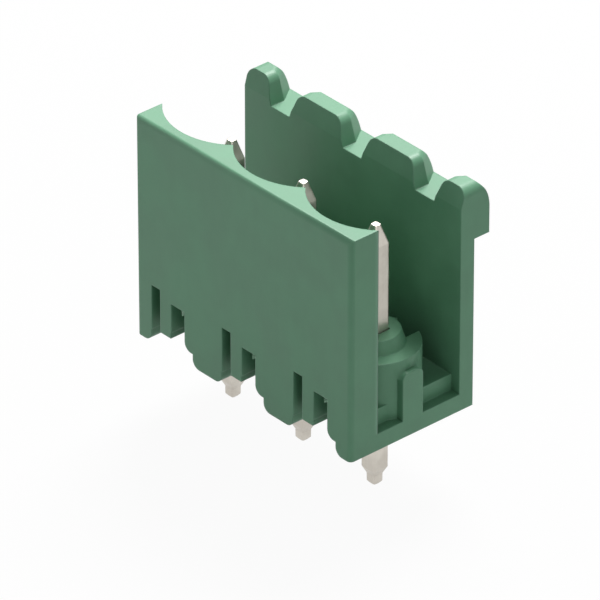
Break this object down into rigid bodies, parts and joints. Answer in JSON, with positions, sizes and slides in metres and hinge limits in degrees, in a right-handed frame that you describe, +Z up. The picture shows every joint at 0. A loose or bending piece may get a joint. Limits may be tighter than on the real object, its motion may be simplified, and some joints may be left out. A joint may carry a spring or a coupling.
{
  "type": "pluggable terminal block header",
  "caption": "Upright board-mounted pin header of a pluggable terminal block: open-ended moulded shroud with a latch ledge, scalloped inner wall and square contact pins.",
  "frame": {"origin": "on the board's surface, which is the plane of the feet, at the middle of the row of contact pins", "axes": "+X along the row of pins, +Y from the scalloped front wall towards the latch wall and its ledge, +Z up from the board towards the open mouth"},
  "size_m": [0.0152, 0.0086, 0.0159],
  "materials": {
    "housing": "matt green moulded polyamide",
    "contact": "satin tin plating over copper alloy"
  },
  "bodies": {
    "root": {"housing": "housing", "pin_1": "contact", "pin_2": "contact", "pin_3": "contact"}
  },
  "joints": []
}
